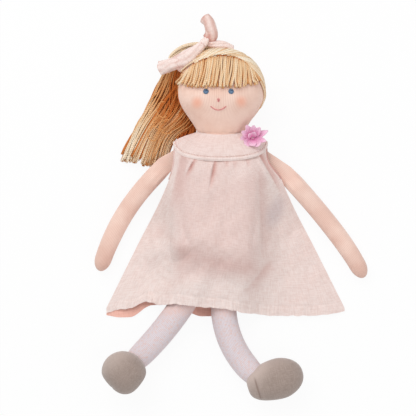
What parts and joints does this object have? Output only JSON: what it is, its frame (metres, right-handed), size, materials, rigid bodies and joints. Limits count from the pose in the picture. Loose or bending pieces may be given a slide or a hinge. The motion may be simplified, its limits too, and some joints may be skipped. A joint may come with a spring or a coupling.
{
  "type": "rag doll",
  "caption": "Stuffed cloth rag doll lying on its back: pink A-line dress, yarn side ponytail with a bow, white tights, grey shoes; head, arms, legs and hair move.",
  "frame": {"origin": "on the surface that the doll lies on, under the middle of its torso", "axes": "+Y from the feet to the head, +Z from the resting surface up to the face, +X to the doll's left"},
  "size_m": [0.3123, 0.4297, 0.0759],
  "materials": {
    "skin_jersey": "matte",
    "pink_muslin": "matte",
    "tights_knit": "matte",
    "shoe_cloth": "matte",
    "hair_yarn": "matte",
    "petal_cloth": "matte",
    "blue_thread": "satin",
    "pink_thread": "satin",
    "fibre_filling": "matte",
    "tie_elastic": "matte",
    "button_shell": "satin"
  },
  "bodies": {
    "torso": {"torso_cover": "skin_jersey", "torso_stuffing": "fibre_filling", "left_arm_tab": "skin_jersey", "right_arm_tab": "skin_jersey", "dress_front": "pink_muslin", "dress_back": "pink_muslin", "collar": "pink_muslin", "left_armhole_binding": "pink_muslin", "right_armhole_binding": "pink_muslin", "back_button": "button_shell", "flower_outer_petals": "petal_cloth", "flower_inner_petals": "petal_cloth", "flower_knot": "petal_cloth"},
    "head": {"head_cover": "skin_jersey", "head_stuffing": "fibre_filling", "left_eye": "blue_thread", "right_eye": "blue_thread", "nose": "pink_thread", "mouth": "pink_thread", "hair_cap": "hair_yarn", "fringe": "hair_yarn", "hair_seam": "hair_yarn", "bow_band": "pink_muslin", "bow_knot": "pink_muslin", "bow_side_tail": "pink_muslin", "bow_back_tail": "pink_muslin"},
    "ponytail": {"ponytail": "hair_yarn", "hair_tie": "tie_elastic"},
    "bow_tail": {"bow_upper_tail": "pink_muslin"},
    "left_arm": {"left_arm_cover": "skin_jersey", "left_arm_stuffing": "fibre_filling"},
    "left_leg": {"left_leg_cover": "tights_knit", "left_leg_stuffing": "fibre_filling", "left_shoe_cover": "shoe_cloth", "left_shoe_stuffing": "fibre_filling"},
    "right_arm": {"right_arm_cover": "skin_jersey", "right_arm_stuffing": "fibre_filling"},
    "right_leg": {"right_leg_cover": "tights_knit", "right_leg_stuffing": "fibre_filling", "right_shoe_cover": "shoe_cloth", "right_shoe_stuffing": "fibre_filling"}
  },
  "joints": [
    {"name": "neck_nod", "type": "hinge", "parent": "torso", "child": "head", "pos_m": [0.002, 0.079, 0.0495], "axis": [1, 0, 0], "range_deg": [0, 30]},
    {"name": "left_shoulder_lift", "type": "hinge", "parent": "torso", "child": "left_arm", "pos_m": [0.0735, 0.0355, 0.0256], "axis": [-0.7071, -0.7071, 0], "range_deg": [0, 95]},
    {"name": "right_shoulder_lift", "type": "hinge", "parent": "torso", "child": "right_arm", "pos_m": [-0.0608, 0.045, 0.0256], "axis": [-0.7193, 0.6947, 0], "range_deg": [0, 95]},
    {"name": "left_hip_lift", "type": "hinge", "parent": "torso", "child": "left_leg", "pos_m": [0.0115, -0.079, 0.0166], "axis": [-1, 0, 0], "range_deg": [0, 95], "deforming": ["dress_front"]},
    {"name": "right_hip_lift", "type": "hinge", "parent": "torso", "child": "right_leg", "pos_m": [-0.0205, -0.079, 0.0166], "axis": [-1, 0, 0], "range_deg": [0, 95], "deforming": ["dress_front"]},
    {"name": "ponytail_swing", "type": "hinge", "parent": "head", "child": "ponytail", "pos_m": [-0.04265, 0.159, 0.033], "axis": [0, 0, -1], "range_deg": [0, 60]},
    {"name": "bow_tail_swing", "type": "hinge", "parent": "head", "child": "bow_tail", "pos_m": [-0.017, 0.1785, 0.0466], "axis": [0, 0, 1], "range_deg": [0, 30]}
  ]
}
